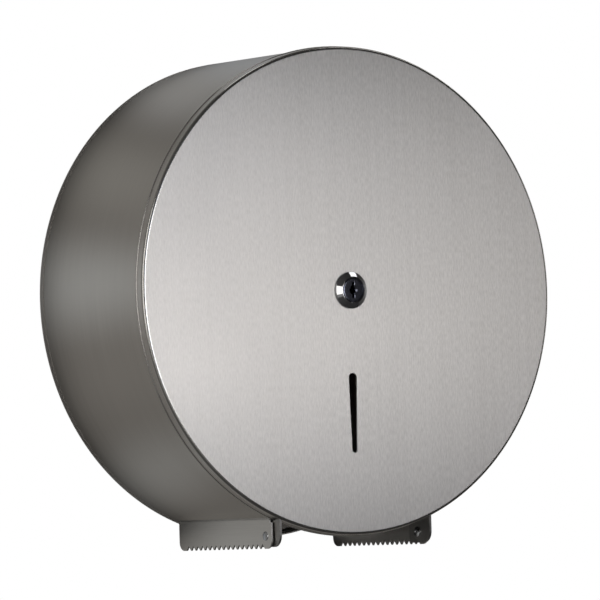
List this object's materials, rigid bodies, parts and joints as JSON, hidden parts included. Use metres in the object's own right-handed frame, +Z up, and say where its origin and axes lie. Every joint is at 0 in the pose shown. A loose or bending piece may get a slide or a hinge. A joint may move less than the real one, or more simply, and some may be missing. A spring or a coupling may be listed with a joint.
{
  "type": "jumbo toilet roll dispenser",
  "caption": "Wall-mounted round stainless steel dispenser for a jumbo toilet roll, with a hinged locking front lid, a fixed spindle and toothed tear blades.",
  "frame": {"origin": "on the wall face of the rear panel, on the drum's axis", "axes": "+Y into the wall, +Z up, +X to the right of a person facing the lid"},
  "size_m": [0.3112, 0.13, 0.3175],
  "materials": {
    "satin_steel": "brushed",
    "plain_steel": "mill",
    "zinc_plate": "zinc-plated",
    "dark_chrome": "polished",
    "cast_alloy": "cast",
    "white_plastic": "moulded"
  },
  "bodies": {
    "casing": {"rear_panel": "satin_steel", "drum_band": "satin_steel", "tear_blade_left": "satin_steel", "tear_blade_right": "satin_steel", "spindle_base": "cast_alloy", "spindle_tube": "cast_alloy", "spindle_studs": "zinc_plate", "spindle_nuts": "zinc_plate", "latch_keeper": "plain_steel", "keeper_screws": "zinc_plate", "hinge_rivets": "zinc_plate", "hinge_washers": "zinc_plate"},
    "core": {"core_sleeve": "white_plastic"},
    "lid": {"lid_shell": "satin_steel", "lid_hinge_bracket": "plain_steel", "lock_body": "dark_chrome", "lock_washer": "zinc_plate", "lock_nut": "zinc_plate"},
    "lock": {"lock_plug": "dark_chrome", "lock_cam": "zinc_plate", "cam_washer": "zinc_plate", "cam_nut": "zinc_plate"}
  },
  "joints": [
    {"name": "lid_hinge", "type": "hinge", "parent": "casing", "child": "lid", "pos_m": [0, -0.1115, -0.1539], "axis": [1, 0, 0], "range_deg": [0, 175]},
    {"name": "lock_turn", "type": "hinge", "parent": "lid", "child": "lock", "pos_m": [0, -0.126, 0], "axis": [0, 1, 0], "range_deg": [0, 90]},
    {"name": "core_spin", "type": "hinge", "parent": "casing", "child": "core", "pos_m": [0, -0.059, 0], "axis": [0, 1, 0], "continuous": true}
  ]
}
